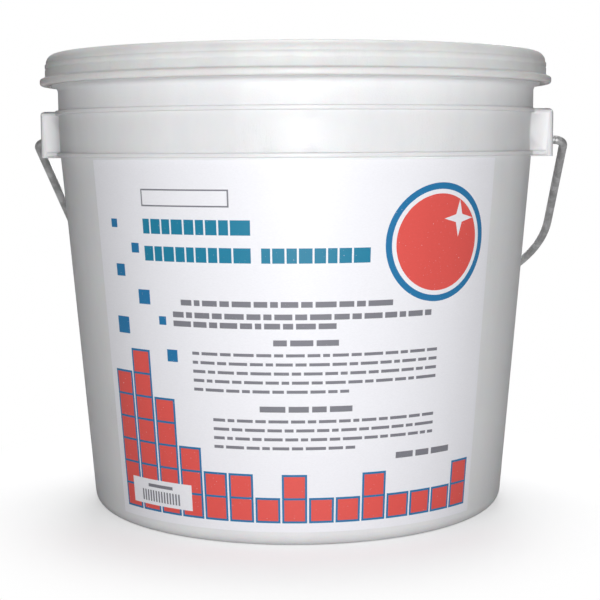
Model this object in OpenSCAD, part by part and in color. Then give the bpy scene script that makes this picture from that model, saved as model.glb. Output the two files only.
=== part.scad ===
/* [Pail] */
// Thickness of the pail's wall
wall = 1.7; // [1.2:0.1:2.4]
// Thickness of the pail's bottom
floor_t = 2; // [1.4:0.1:3]
// Outer radius of the wall just above the bottom corner
base_r = 94; // [86:0.5:98]
// Outer radius of the wall under the lower rib
shoulder_r = 106.7; // [98:0.1:116]
// How far the neck stands out past the top of the wall
neck_step = 0.5; // [0.2:0.1:1]
// Radius of the rounded bottom corner
corner_r = 6; // [3:0.5:6.5]
// Width of the flat ring that the pail stands on
foot_w = 5; // [3:0.5:9]
// Height of the bottom panel above the floor
foot_rise = 1.6; // [0.8:0.1:3]
// Height of the rim's top face
rim_z = 201; // [180:0.5:225]

/* [Ribs] */
// Height from the upper rib's top face to the rim's top face
upper_rib_drop = 22.6; // [20:0.2:27]
// Height from the lower rib's top face to the upper rib's top face
rib_pitch = 18.4; // [16:0.2:22]
// Height of each rib
rib_h = 1.9; // [1.2:0.1:2.2]
// How far each rib stands out of the wall
rib_out = 1.4; // [0.6:0.1:2.5]

/* [Rim] */
// Height of the snap bead, from its underside to the rim's top face
snap_h = 12; // [9:0.5:14]
// How far the snap bead stands out of the neck
snap_out = 3.2; // [2:0.1:4]
// Height of the slope that leads the lid over the snap bead
snap_lead = 4.5; // [3:0.1:6]
// Width of the rim's flat top face
rim_flat = 2; // [1:0.1:3]
// Radius of the hollow under the snap bead
snap_fillet = 2.6; // [1:0.1:4]

/* [Ears] */
// How far an ear's outer face stands out past the lid's bead
ear_out = 0.3; // [0:0.1:3]
// Width of an ear, along the wall
ear_w = 33; // [24:1:44]
// Thickness of an ear's walls
ear_wall = 2.2; // [1.6:0.1:3]
// How far an ear hangs below the lower rib's top face
ear_drop = 2.6; // [2.3:0.1:4]
// Radius of an ear's rounded edges
ear_edge_r = 2.4; // [0.6:0.1:4]
// How far the rib on an ear's side stops short of the ear's outer face
lip_short = 3.4; // [1:0.1:6]
// Height of the wire's hole above the lower rib's top face
pivot_up = 4.5; // [3.8:0.1:9]
// Gap round the wire in its hole
hole_gap = 0.3; // [0.1:0.05:0.8]
// Width of the boss round the hole, inside the ear
boss_w = 2; // [1:0.1:3]
// Thickness of that boss
boss_t = 0.9; // [0.4:0.1:1.5]

/* [Lid] */
// Thickness of the lid's walls
lid_wall = 1.5; // [1.1:0.1:2.2]
// Thickness of the lid where it sits on the rim
lid_top_t = 2; // [1.4:0.1:3]
// Gap between the lid and the rim, on both sides of the rim
lid_gap = 0.3; // [0.2:0.05:0.6]
// Height of the lid, from the bead's underside to its top face
lid_h = 13.7; // [12:0.1:16]
// Radius of the lid's rounded top edge
lid_edge_r = 4; // [2:0.1:4.5]
// How far the bead round the lid's lower edge stands out of the skirt
bead_out = 2.8; // [1.8:0.1:4]
// Height of that bead
bead_h = 3.1; // [2:0.1:4]
// How far the skirt steps out below the rounded top edge
step_out = 0.5; // [0.2:0.1:0.8]
// Height from that step down to the groove round the skirt
groove_drop = 2.3; // [1.5:0.1:3]
// Depth of the sunk panel below the lid's top face
panel_sink = 5.5; // [3:0.1:7]
// Height of the lid's inner wall, below its top face
plug_h = 11; // [8:0.5:14]
// Height of the raised disc that fits the foot of a pail above
stack_rise = 1.2; // [0.4:0.1:1.5]
// Gap between that disc and the foot of a pail above
stack_gap = 1.5; // [0.5:0.1:3]

/* [Bail] */
// Diameter of the wire
wire_d = 3.8; // [3:0.1:4.2]
// Distance between an ear's outer face and the middle of the wire beside it
arm_out = 5.9; // [5:0.1:9]
// Angle by which each arm leans inwards
arm_lean = 2.5; // [0:0.1:4]
// Length of each arm's straight part
arm_len = 60; // [50:1:72]
// Radius of the bend where the wire turns into the ear
ear_bend_r = 4.2; // [3:0.1:5]
// Diameter of the flattened head on each end of the wire
head_d = 7; // [5.5:0.1:8]
// Thickness of that head
head_t = 1.5; // [1:0.1:2]
// Gap between that head and the ear
head_gap = 0.4; // [0.2:0.1:0.8]

/* [Grip] */
// Diameter of the hand grip
grip_d = 16; // [13:0.5:20]
// Length of the hand grip
grip_len = 80; // [60:1:100]
// Length of straight wire beyond each end of the grip
grip_end = 2.65; // [1:0.05:12]
// How far the collar on each end of the grip stands out
collar_out = 1.2; // [0.6:0.1:3]
// Width of each collar
collar_w = 3.2; // [2.2:0.1:6]
// Gap between the grip and the wire
grip_gap = 0.3; // [0.15:0.05:0.8]
// Number of grooves along the grip
flutes = 12; // [8:1:16]
// Radius of each groove's round bottom
flute_r = 1.5; // [1:0.1:1.8]
// Depth of each groove
flute_deep = 0.7; // [0.3:0.1:1]
// Length of plain grip between a groove and a collar
flute_end = 5; // [2:0.5:12]
// Gap that stays between the grip and the pail's wall
rest_gap = 0.4; // [0.3:0.05:1]

/* [Label] */
// Angle that the label covers round the wall
label_span = 102; // [60:1:115]
// Angle of the label's middle, from the front towards the right ear
label_turn = 4.6; // [-8:0.1:8]
// Height of the label's lower edge
label_z = 6.8; // [6.1:0.1:20]
// Gap between the label's upper edge and the lower rib
label_top_gap = 0.9; // [0.4:0.1:20]
// Thickness of the label
label_t = 0.25; // [0.1:0.05:0.4]
// Thickness of the glue under the label
label_glue = 0.05; // [0.02:0.01:0.1]
// Width of the bare paper round the print
label_margin = 3.8; // [2:0.1:8]

/* [Print] */
// Thickness of one layer of ink
ink_t = 0.03; // [0.02:0.01:0.05]
// Width of the blue line round each red tile
tile_line = 0.9; // [0.4:0.1:2]
// Width of the bare gap between two columns of tiles
tile_gap = 0.8; // [0.4:0.1:2]
// Distance of the plate's middle from the label's middle
plate_x = 60; // [50:0.5:64]
// Height from the plate's middle to the label's upper edge
plate_drop = 33.4; // [30:0.2:40]
// Radius of the plate
plate_r = 24; // [14:0.5:26]
// Width of the plate's blue rim
plate_rim = 2.6; // [1:0.1:5]
// Distance of the title's left edge from the label's middle
title_left = 62; // [50:0.5:64]
// Height from the title's upper edge to the label's upper edge
title_drop = 23.4; // [20:0.2:30]
// Height of the title's bars
title_h = 6; // [3:0.1:8]
// Distance between the title's two lines
title_pitch = 11; // [9:0.5:13]
// Height from the name's frame to the label's upper edge
name_drop = 11.4; // [6:0.2:13]
// Width of the name's frame
name_w = 38; // [20:1:60]
// Height of the name's frame
name_h = 7; // [4:0.5:8]
// Thickness of the frame's line
name_line = 0.6; // [0.3:0.1:1]
// Height of a line of small text
text_h = 1.7; // [1:0.1:2.4]
// Distance between two lines of small text
text_pitch = 3.7; // [3:0.1:4.5]
// Distance of the weight's left edge from the label's middle
weight_x = 44; // [30:1:46]
// Height of the weight above the label's foot
weight_y = 29; // [26:0.5:32]
// Width of the weight's bar
weight_w = 28; // [14:1:32]
// Distance of the white panel's left edge from the label's middle
panel_left = 80; // [60:1:84]
// Width of the white panel
panel_w = 34; // [28:1:50]
// Height of the white panel
panel_h = 11; // [9:0.5:16]
// Height of the panel's lower edge above the print's foot
panel_rise = 2.7; // [1:0.1:6]

/* [Detergent] */
// Height from the powder's edge up to the lower rib's top face
head_space = 8; // [5:1:100]
// Height of the powder's middle above its edge
fill_crown = 3; // [0:0.5:5]
// Gap between the powder and the wall
fill_gap = 0.3; // [0.2:0.05:0.6]

/* [Hidden] */
$fn = 96;
round_fn = 180;
wire_fn = 32;
// Overlap of solids that are joined or cut
lap = 1;
// Radius of the small rounded edges of moulded plastic
soft_edge = 0.8;

upper_rib_z = rim_z - upper_rib_drop;
lower_rib_z = upper_rib_z - rib_pitch;

// The wall's taper, and the wall's outer radius at a height z
taper = atan((shoulder_r - base_r) / (lower_rib_z - corner_r));
function wall_r(z) = base_r + (z - corner_r) * tan(taper);

// Points of an arc about (x, y), from angle a to angle b
function arc(x, y, r, a, b, n = 8) = [for (i = [0:n]) let (t = a + (b - a) * i / n) [x + r * cos(t), y + r * sin(t)]];

corner_x = base_r - corner_r;
corner_in_r = corner_r - wall;
foot_in_r = corner_x - foot_w;
floor_z = foot_rise + floor_t;
neck_r = shoulder_r + neck_step;
neck_in_r = neck_r - wall;
snap_r = neck_r + snap_out;
snap_z = rim_z - snap_h;
rim_r = neck_in_r + soft_edge + rim_flat;

skirt_in_r = snap_r + lid_gap;
skirt_r = skirt_in_r + lid_wall;
bead_r = skirt_r + bead_out;
lid_z = rim_z + lid_top_t;
bead_z = lid_z - lid_h;
step_z = lid_z - lid_edge_r - step_out / 2;
groove_z = step_z - groove_drop;
plug_r = neck_in_r - lid_gap;
plug_in_r = plug_r - lid_wall;
plug_z = lid_z - plug_h;
panel_z = lid_z - panel_sink;
stack_r = foot_in_r - stack_gap;

wire_r = wire_d / 2;
hole_r = wire_r + hole_gap;
boss_r = hole_r + boss_w;
ear_reach = bead_r + ear_out;
ear_in_r = ear_reach - ear_wall;
// The ear's walls start this far inside the pail's wall, before the pail is hollowed out
ear_root = 10;
ear_root_r = neck_in_r - ear_root;
ear_low_z = lower_rib_z - ear_drop;
boss_in_r = ear_in_r - boss_t;
pivot_z = lower_rib_z + pivot_up;

// The bail in its own plane: x along the hinge, y away from it. The bends are a hair thicker than the
// straight runs, and each run laps into its bends, so that they join at a clean step.
bend_swell = 0.01;
bend_lap = 0.05;
arm_reach = ear_reach + arm_out;
stub_end = arm_reach - ear_bend_r;
head_x = boss_in_r - head_gap;
grip_x = grip_len / 2 + grip_end;
bend_r = (stub_end + ear_bend_r * cos(arm_lean) - arm_len * sin(arm_lean) - grip_x) / cos(arm_lean);
grip_y = ear_bend_r * (1 + sin(arm_lean)) + arm_len * cos(arm_lean) + bend_r * (1 - sin(arm_lean));

// Angle between the hanging bail and straight down, with the grip lying against the wall
bail_lean = asin((wall_r(pivot_z) * cos(taper) + grip_d / 2 + rest_gap) / grip_y) - taper;

// Half the label's width and its height, in millimetres of paper, and how many of them make one degree
sheet_y = lower_rib_z - rib_h - label_top_gap - label_z;
sheet_deg = PI * wall_r(label_z + sheet_y / 2) / 180;
sheet_x = label_span / 2 * sheet_deg;
print_x = sheet_x - label_margin;

// The print's tiles: how many stand on each other in each column across the sheet
TILES = [6, 7, 5, 3, 2, 2, 1, 2, 1, 1, 2, 1, 1, 1, 2];
tile = (2 * print_x + tile_gap) / len(TILES) - tile_gap;
// Loose blue tiles above them, as [x, y, size] on the sheet
LOOSE = [[-81, 79, 7], [-67, 92, 6], [-79, 103, 5], [-69, 113, 4], [-80, 123, 3.5], [-54, 69, 5], [-57, 84, 3.5]];

// The title's words, as [distance from its left edge, line, width]
TITLE = [[0, 0, 46], [0, 1, 46], [50, 1, 42]];
// The small text's headings, as [left edge, height down from the label's upper edge, width]
HEADINGS = [[-8, 71, 26], [-14, 98, 38]];
// The small text's blocks, as [left edge, height down from the label's upper edge, width, lines]
BLOCKS = [[-46, 55.6, 86, 1], [-50, 60.6, 108, 2], [-42, 76.6, 104, 5], [-34, 103.6, 96, 4]];
// How far along its block the last line runs
last_line = 0.62;

paper_white = [0.96, 0.96, 0.98];
print_red = [0.88, 0.36, 0.33];
print_blue = [0.1, 0.48, 0.68];
print_teal = [0.1, 0.52, 0.62];
print_grey = [0.42, 0.42, 0.46];

module both_sides() {
    children();
    rotate([0, 0, 180]) children();
}

module pail_outline() {
    polygon(concat(
        [[0, foot_rise], [foot_in_r - foot_rise, foot_rise], [foot_in_r, 0]],
        arc(corner_x, corner_r, corner_r, -90, -taper),
        [[wall_r(lower_rib_z), lower_rib_z], [neck_r, upper_rib_z]],
        arc(neck_r + snap_fillet, snap_z - snap_fillet, snap_fillet, 180, 90),
        [[snap_r, snap_z + soft_edge], [snap_r, rim_z - snap_lead], [rim_r, rim_z], [0, rim_z]]));
}

module pail_inside() {
    polygon(concat(
        [[0, floor_z]],
        arc(corner_x, floor_z + corner_in_r, corner_in_r, -90, -taper),
        [[wall_r(lower_rib_z) - wall, lower_rib_z], [neck_in_r, upper_rib_z], [neck_in_r, rim_z - soft_edge],
         [neck_in_r + soft_edge, rim_z], [neck_in_r + soft_edge, rim_z + lap], [0, rim_z + lap]]));
}

// A ring with rounded outer edges, its top face at z, round a wall of radius r
module rib(z, r) {
    edge = min(soft_edge / 2, rib_h / 3, rib_out / 2);
    tip = r + rib_out - edge;
    rotate_extrude() polygon(concat(
        [[r - wall / 2, z - rib_h]],
        arc(tip, z - rib_h + edge, edge, -90, 0, 3),
        arc(tip, z - edge, edge, 0, 90, 3),
        [[r - wall / 2, z]]));
}

module rounded_square(w, h, r) {
    translate([r, 0]) square([w - 2 * r, h]);
    translate([0, r]) square([w, h - 2 * r]);
    for (x = [r, w - r], y = [r, h - r]) translate([x, y]) circle(r);
}

// Outer form of one ear, with its upright outer edges and its top edges rounded
module ear_block() {
    r = ear_edge_r;
    h = upper_rib_z - ear_low_z;
    run = ear_reach - ear_root_r;
    translate([ear_root_r, 0, ear_low_z]) intersection() {
        translate([-r, -ear_w / 2, 0]) linear_extrude(h) rounded_square(run + r, ear_w, r);
        translate([-r, ear_w / 2, -r]) rotate([90, 0, 0]) linear_extrude(ear_w) rounded_square(run + r, h + r, r);
        translate([0, -ear_w / 2, -r]) rotate([90, 0, 90]) linear_extrude(run) rounded_square(ear_w, h + r, r);
    }
}

// The lower rib carried on along the foot of an ear's two side walls
module ear_lip() {
    w = ear_w + 2 * rib_out;
    translate([ear_root_r, -w / 2, lower_rib_z - rib_h]) cube([ear_reach - lip_short - ear_root_r, w, rib_h]);
}

module ear_hollow() {
    w = ear_w - 2 * ear_wall;
    translate([ear_root_r, -w / 2, ear_low_z - lap])
        cube([ear_in_r - ear_root_r, w, upper_rib_z - ear_wall - ear_low_z + lap]);
}

module ear_boss() {
    translate([boss_in_r, 0, pivot_z]) rotate([0, 90, 0]) cylinder(h = boss_t + ear_wall / 2, r = boss_r);
}

module ear_hole() {
    translate([boss_in_r - lap, 0, pivot_z]) rotate([0, 90, 0])
        cylinder(h = boss_t + ear_wall + 2 * lap, r = hole_r);
}

// Shallow dish in the middle of the underside, where the plastic was fed in, and a ring round it
module feed_mark() {
    dish_r = 7;
    dish_deep = 0.7;
    ring_r = 50;
    ring_w = 1.6;
    ring_deep = 0.35;
    low = foot_rise - lap;
    rotate_extrude() {
        polygon([[0, low], [dish_r, low], [dish_r, foot_rise], [dish_r - 2 * dish_deep, foot_rise + dish_deep],
            [0, foot_rise + dish_deep]]);
        translate([ring_r, low]) square([ring_w, lap + ring_deep]);
    }
}

module pail_body() {
    color([0.93, 0.93, 0.94]) difference() {
        union() {
            difference() {
                both_sides() {
                    ear_block();
                    ear_lip();
                }
                both_sides() ear_hollow();
            }
            both_sides() ear_boss();
            rotate_extrude($fn = round_fn) pail_outline();
            rib(lower_rib_z, wall_r(lower_rib_z));
            rib(upper_rib_z, neck_r);
        }
        rotate_extrude($fn = round_fn) pail_inside();
        both_sides() ear_hole();
        feed_mark();
    }
}

module lid_outline() {
    bead_edge = bead_h * 0.35;
    bead_top = bead_z + bead_h;
    waist_r = skirt_r + step_out;
    disc_z = panel_z + stack_rise;
    disc_in_r = stack_r - lid_wall / 3;
    polygon(concat(
        [[skirt_in_r, bead_z]],
        arc(bead_r - bead_edge, bead_z + bead_edge, bead_edge, -90, 0, 5),
        arc(bead_r - bead_edge, bead_top - bead_edge, bead_edge, 0, 90, 5),
        [[waist_r + soft_edge, bead_top + soft_edge / 4], [waist_r, bead_top + soft_edge],
         [waist_r, groove_z - step_out], [skirt_r, groove_z], [waist_r, groove_z + step_out],
         [waist_r, step_z - step_out], [skirt_r, step_z]],
        arc(skirt_r - lid_edge_r, lid_z - lid_edge_r, lid_edge_r, 0, 90),
        arc(plug_in_r + lid_wall, lid_z - lid_wall, lid_wall, 90, 180, 5),
        [[plug_in_r, panel_z], [stack_r + stack_rise, panel_z], [stack_r, disc_z], [0, disc_z],
         [0, disc_z - lid_wall], [disc_in_r, disc_z - lid_wall], [disc_in_r + stack_rise, panel_z - lid_wall],
         [plug_in_r, panel_z - lid_wall], [plug_in_r, plug_z + soft_edge], [plug_in_r + lid_wall / 3, plug_z],
         [plug_r - lid_wall / 3, plug_z], [plug_r, plug_z + soft_edge], [plug_r, rim_z],
         [rim_r + 2 * lid_gap, rim_z], [skirt_in_r, rim_z - snap_lead]]));
}

module lid() {
    color([0.88, 0.88, 0.87]) rotate_extrude($fn = round_fn) lid_outline();
}

// A straight run of wire along +Y
module wire_run(len) {
    translate([0, -bend_lap, 0]) rotate([-90, 0, 0]) cylinder(h = len + 2 * bend_lap, r = wire_r, $fn = wire_fn);
}

// A bend that starts along +Y and turns towards -X, with what follows it as its children
module wire_bend(r, turn) {
    translate([-r, 0, 0]) {
        rotate_extrude(angle = turn) translate([r, 0]) circle(wire_r + bend_swell, $fn = wire_fn);
        rotate([0, 0, turn]) translate([r, 0, 0]) children();
    }
}

module half_bail() {
    stub = stub_end - head_x;
    translate([head_x, 0, 0]) rotate([0, 0, -90]) {
        translate([0, -head_t, 0]) rotate([-90, 0, 0]) cylinder(h = head_t, r = head_d / 2, $fn = wire_fn);
        wire_run(stub);
        translate([0, stub, 0]) wire_bend(ear_bend_r, 90 + arm_lean) {
            wire_run(arm_len);
            translate([0, arm_len, 0]) wire_bend(bend_r, 90 - arm_lean);
        }
    }
}

// Turns the bail's plane from flat to its rest behind the pail
module hung_bail() {
    translate([0, 0, pivot_z]) rotate([bail_lean - 90, 0, 0]) children();
}

module bail() {
    color([0.5, 0.5, 0.5]) hung_bail() {
        half_bail();
        rotate([0, 180, 0]) half_bail();
        translate([grip_x, grip_y, 0]) rotate([0, 0, 90]) wire_run(2 * grip_x);
    }
}

module grip_outline() {
    half = grip_len / 2;
    r = grip_d / 2;
    collar_r = r + collar_out;
    edge = soft_edge;
    bore = wire_r + grip_gap;
    collar_y = half - collar_w;
    polygon(concat(
        [[bore, -half]],
        arc(collar_r - edge, -half + edge, edge, -90, 0, 4),
        [[collar_r, -collar_y - edge / 2], [collar_r - edge / 2, -collar_y], [r, -collar_y + collar_out],
         [r, collar_y - collar_out], [collar_r - edge / 2, collar_y], [collar_r, collar_y + edge / 2]],
        arc(collar_r - edge, half - edge, edge, 0, 90, 4),
        [[bore, half]]));
}

// Shallow round grooves along the grip's middle, for the hand
module grip_flutes() {
    len = grip_len - 2 * (collar_w + flute_end);
    for (i = [0:flutes - 1]) rotate([0, 0, (i + 0.5) * 360 / flutes])
        translate([grip_d / 2 + flute_r - flute_deep, 0, -len / 2]) cylinder(h = len, r = flute_r, $fn = 24);
}

module bail_grip() {
    color([0.9, 0.9, 0.9]) hung_bail() translate([0, grip_y, 0]) rotate([0, 90, 0]) difference() {
        rotate_extrude() grip_outline();
        grip_flutes();
    }
}

// A patch of the label's sheet, from depth d0 to d1 out of the wall. On the sheet x runs round the pail from
// the label's middle and y runs up from the label's foot, both in millimetres of paper.
module patch(x0, x1, y0, y1, d0, d1) {
    low = label_z + y0;
    high = label_z + y1;
    rotate([0, 0, label_turn - 90 + x0 / sheet_deg]) rotate_extrude(angle = (x1 - x0) / sheet_deg, $fn = round_fn)
        polygon([[wall_r(low) + d0, low], [wall_r(low) + d1, low],
                 [wall_r(high) + d1, high], [wall_r(high) + d0, high]]);
}

// A printed rectangle, so many layers of ink thick
module ink(x0, x1, y0, y1, layers = 1) {
    patch(x0, x1, y0, y1, label_glue + label_t / 2, label_glue + label_t + layers * ink_t);
}

// What its children draw flat is printed round the point (x, y), as far as reach and inside the margin
module stamp(x, y, reach, layers) {
    far = 1.1 * reach;
    intersection() {
        ink(max(x - far, -print_x), min(x + far, print_x), max(y - far, label_margin), y + far, layers);
        rotate([0, 0, label_turn - 90 + x / sheet_deg]) translate([0, 0, label_z + y])
            rotate([90, 0, 90]) linear_extrude(2 * base_r) children();
    }
}

module dot(x, y, r, layers) {
    stamp(x, y, r, layers) circle(r, $fn = wire_fn);
}

// Lines of text as plain bars, down from the height y; the last of several lines is shorter
module lines(x, y, width, count) {
    for (line = [0:count - 1]) {
        top = y - line * text_pitch;
        run = line > 0 && line == count - 1 ? width * last_line : width;
        ink(x, x + run, top - text_h, top);
    }
}

module tile_print() {
    for (i = [0:len(TILES) - 1]) {
        x = i * (tile + tile_gap) - print_x;
        color(print_blue)
            ink(x, x + tile, label_margin, label_margin + TILES[i] * (tile - tile_line) + tile_line, 2);
        color(print_red) for (j = [0:TILES[i] - 1]) {
            y = label_margin + tile_line + j * (tile - tile_line);
            ink(x + tile_line, x + tile - tile_line, y, y + tile - 2 * tile_line, 3);
        }
    }
    color(print_blue) for (t = LOOSE) ink(t[0], t[0] + t[2], t[1], t[1] + t[2], 2);
}

module plate_print() {
    plate_y = sheet_y - plate_drop;
    well_r = plate_r - 2 * plate_rim;
    color(print_blue) dot(plate_x, plate_y, plate_r, 2);
    color(paper_white) dot(plate_x, plate_y, plate_r - plate_rim, 3);
    color(print_red) dot(plate_x, plate_y, plate_r - 1.7 * plate_rim, 4);
    color(paper_white) stamp(plate_x + well_r / 2, plate_y + well_r / 2, well_r / 2, 5)
        polygon([for (i = [0:7]) let (r = well_r * (i % 2 == 0 ? 0.4 : 0.12)) [r * cos(45 * i), r * sin(45 * i)]]);
}

module title_print() {
    color(print_teal) for (w = TITLE) {
        left = w[0] - title_left;
        top = sheet_y - title_drop - w[1] * title_pitch;
        ink(left, left + w[2], top - title_h, top);
    }
    frame_y = sheet_y - name_drop;
    color(print_grey) ink(-title_left, name_w - title_left, frame_y - name_h, frame_y);
    color(paper_white) ink(name_line - title_left, name_w - name_line - title_left,
        frame_y - name_h + name_line, frame_y - name_line, 2);
}

module text_print() {
    color(print_grey) {
        for (b = BLOCKS) lines(b[0], sheet_y - b[1], b[2], b[3]);
        for (h = HEADINGS) ink(h[0], h[0] + h[2], sheet_y - h[1] - 1.4 * text_h, sheet_y - h[1]);
        ink(weight_x, weight_x + weight_w, weight_y, weight_y + 1.8 * text_h);
    }
}

module panel_print() {
    low = label_margin + panel_rise;
    color(paper_white) ink(-panel_left, panel_w - panel_left, low, low + panel_h, 4);
}

module label() {
    color(paper_white) patch(-sheet_x, sheet_x, 0, sheet_y, label_glue, label_glue + label_t);
    tile_print();
    plate_print();
    title_print();
    text_print();
    panel_print();
}

module detergent() {
    edge_z = lower_rib_z - head_space;
    edge_r = wall_r(edge_z) - wall - fill_gap;
    color([0.97, 0.97, 0.99]) rotate_extrude() polygon(concat(
        [[0, floor_z]],
        arc(corner_x - fill_gap, floor_z + corner_in_r, corner_in_r, -90, -taper),
        [for (a = [0:15:90]) [edge_r * cos(a), edge_z + fill_crown * sin(a)]]));
}

pail_body();
lid();
bail();
bail_grip();
label();
detergent();
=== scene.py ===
# %% [markdown]
# # A detergent pail with a snap lid
# The real object is a white plastic pail, moulded in one piece with two thin ribs and two box-shaped
# ears. A lid of a greyer plastic snaps over its rim, a zinc-coated wire bail with a hand grip hangs from
# the ears, and a printed paper label wraps round the front. The solid model gives every size; this script
# dresses it.

# %% Load the solid model
import math
import bpy
from mathutils import Matrix, Vector


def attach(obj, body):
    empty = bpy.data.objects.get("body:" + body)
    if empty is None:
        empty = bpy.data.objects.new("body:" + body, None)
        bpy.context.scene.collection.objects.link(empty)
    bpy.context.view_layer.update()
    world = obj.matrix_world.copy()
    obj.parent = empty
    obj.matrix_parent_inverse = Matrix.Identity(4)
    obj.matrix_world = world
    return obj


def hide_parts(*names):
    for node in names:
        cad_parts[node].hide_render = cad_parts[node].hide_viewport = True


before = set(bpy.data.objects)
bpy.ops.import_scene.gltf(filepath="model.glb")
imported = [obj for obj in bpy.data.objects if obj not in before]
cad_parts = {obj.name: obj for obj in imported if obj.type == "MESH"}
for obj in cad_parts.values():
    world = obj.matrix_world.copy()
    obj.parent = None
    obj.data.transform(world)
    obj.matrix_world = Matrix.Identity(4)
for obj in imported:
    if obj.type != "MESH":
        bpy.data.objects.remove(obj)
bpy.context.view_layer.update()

# %% [markdown]
# ## The camera
# The photograph was taken from a little below the lid's height, tipped slightly down, with the pail
# turned so that its right ear comes slightly nearer. A camera is easiest to place by the things a
# photographer would note down: how far away it stands, how high, how it is turned round the object, and
# how far it tips down. Those numbers are multiplied as rotation matrices: first the small roll of the
# hand, then the tip, then the turn.

# %% Place the camera
LENS_MM = 86.46
SENSOR_MM = 36
NEAREST_SEEN = 0.01
FARTHEST_SEEN = 60
CAMERA_DISTANCE = 0.6647
CAMERA_HEIGHT = 0.1638
CAMERA_ASIDE = 0.00145
CAMERA_TURN = math.radians(5.3)
CAMERA_TIP = math.radians(6.23)
CAMERA_ROLL = math.radians(0.31)


def make_camera():
    data = bpy.data.cameras.new("photo_camera")
    data.lens = LENS_MM
    data.sensor_width = SENSOR_MM
    data.clip_start = NEAREST_SEEN
    data.clip_end = FARTHEST_SEEN
    camera = bpy.data.objects.new("photo_camera", data)
    bpy.context.scene.collection.objects.link(camera)
    turn = Matrix.Rotation(CAMERA_TURN, 4, "Z")
    place = turn @ Vector((CAMERA_ASIDE, -CAMERA_DISTANCE, 0))
    place.z = CAMERA_HEIGHT
    tip = Matrix.Rotation(math.radians(90) - CAMERA_TIP, 4, "X")
    roll = Matrix.Rotation(-CAMERA_ROLL, 4, "Z")
    camera.matrix_world = Matrix.Translation(place) @ turn @ tip @ roll
    bpy.context.scene.camera = camera
    return camera


make_camera()
print("camera", round(CAMERA_DISTANCE * 1000), "mm away and", round(CAMERA_HEIGHT * 1000), "mm high")

# %% [markdown]
# ## Helpers for node trees
# Materials are graphs of nodes. Short helpers keep the rest readable: they add a node and set its values,
# wire two sockets, feed a socket with a link or a plain value, do a sum with a Math node, and mix two
# colours.


# %% Node helpers
def add_node(tree, kind, **settings):
    node = tree.nodes.new(kind)
    for name, value in settings.items():
        setattr(node, name, value)
    return node


def wire(tree, source, target):
    tree.links.new(source, target)


def feed(tree, value, socket):
    """Gives a socket a value: a link if value is a socket, a plain number or colour otherwise."""
    if isinstance(value, bpy.types.NodeSocket):
        tree.links.new(value, socket)
    else:
        socket.default_value = value


def maths(tree, operation, a, b=0.0, c=0.0, clamp=False):
    node = add_node(tree, "ShaderNodeMath", operation=operation, use_clamp=clamp)
    for value, socket in zip((a, b, c), node.inputs):
        feed(tree, value, socket)
    return node.outputs[0]


def mix_colour(tree, factor, a, b, blend="MIX"):
    node = add_node(tree, "ShaderNodeMix", data_type="RGBA", blend_type=blend)
    feed(tree, factor, node.inputs["Factor"])
    feed(tree, a, node.inputs[6])
    feed(tree, b, node.inputs[7])
    return node.outputs[2]


# %% [markdown]
# ## Groups and materials
# An effect that several materials share is built once, as a node group with named inputs and outputs. A
# material holds one Principled shader, and its steady values are set on that shader's own sockets, where
# they are easy to find and to change.


# %% Group and material helpers
def new_group(name, inputs, outputs):
    """A shader node group; inputs and outputs are lists of (name, kind, default)."""
    group = bpy.data.node_groups.new(name, "ShaderNodeTree")
    for side, sockets in (("INPUT", inputs), ("OUTPUT", outputs)):
        for label, kind, default in sockets:
            socket = group.interface.new_socket(label, in_out=side, socket_type="NodeSocket" + kind)
            if default is not None:
                socket.default_value = default
    return group, add_node(group, "NodeGroupInput").outputs, add_node(group, "NodeGroupOutput").inputs


def use_group(tree, group, **values):
    node = add_node(tree, "ShaderNodeGroup", node_tree=group)
    for name, value in values.items():
        feed(tree, value, node.inputs[name.replace("_", " ")])
    return node.outputs


def new_material(name, **constants):
    """A material with one Principled shader; constants are set on the shader's own sockets."""
    material = bpy.data.materials.new(name)
    material.use_nodes = True
    shader = material.node_tree.nodes["Principled BSDF"]
    for label, value in constants.items():
        shader.inputs[label.replace("_", " ")].default_value = value
    return material, material.node_tree, shader


# %% [markdown]
# ## A white world that gives hardly any light
# A product photograph like this has a white sweep under soft lamps. The white is not made with more light
# on the pail, which would bleach it: the camera sees a white world, mirrored rays see a share of that
# white, and the light's own bounces see next to none.

# %% White world
SURROUND_LIGHT = 0.05
MIRRORED_WHITE = 0.2


def seen_directly(tree):
    """1 for the camera's rays, a share for mirrored or let-through rays, 0 for the light's own bounces."""
    path = add_node(tree, "ShaderNodeLightPath").outputs
    mirrored = maths(tree, "MAXIMUM", path["Is Glossy Ray"], path["Is Transmission Ray"])
    return maths(tree, "MAXIMUM", path["Is Camera Ray"], maths(tree, "MULTIPLY", mirrored, MIRRORED_WHITE))


def make_world():
    world = bpy.data.worlds.new("white_surroundings")
    world.use_nodes = True
    tree = world.node_tree
    background = tree.nodes["Background"]
    extra = maths(tree, "MULTIPLY", seen_directly(tree), 1 - SURROUND_LIGHT)
    background.inputs["Color"].default_value = (1, 1, 1, 1)
    wire(tree, maths(tree, "ADD", extra, SURROUND_LIGHT), background.inputs["Strength"])
    bpy.context.scene.world = world


make_world()
bpy.context.scene.view_settings.view_transform = "Standard"
print(bpy.context.scene.world.name, "gives", SURROUND_LIGHT, "of the light that it shows")

# %% [markdown]
# ## The floor
# The floor adds light of its own in the same way: a part of it under the pail, and all of it some way
# off, where the floor has to meet the white world. Near the pail the lamps light the rest, and where they
# are blocked the soft shadow is left over.

# %% Floor
FLOOR_SEEN = (0.82, 0.82, 0.83, 1)
FLOOR_BOUNCE = (0.44, 0.44, 0.44, 1)
FLOOR_LIFT = 0.47
FLOOR_FADE_FROM = 0.085
FLOOR_FADE_TO = 0.19
FLOOR_HALF = 6.0


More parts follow.
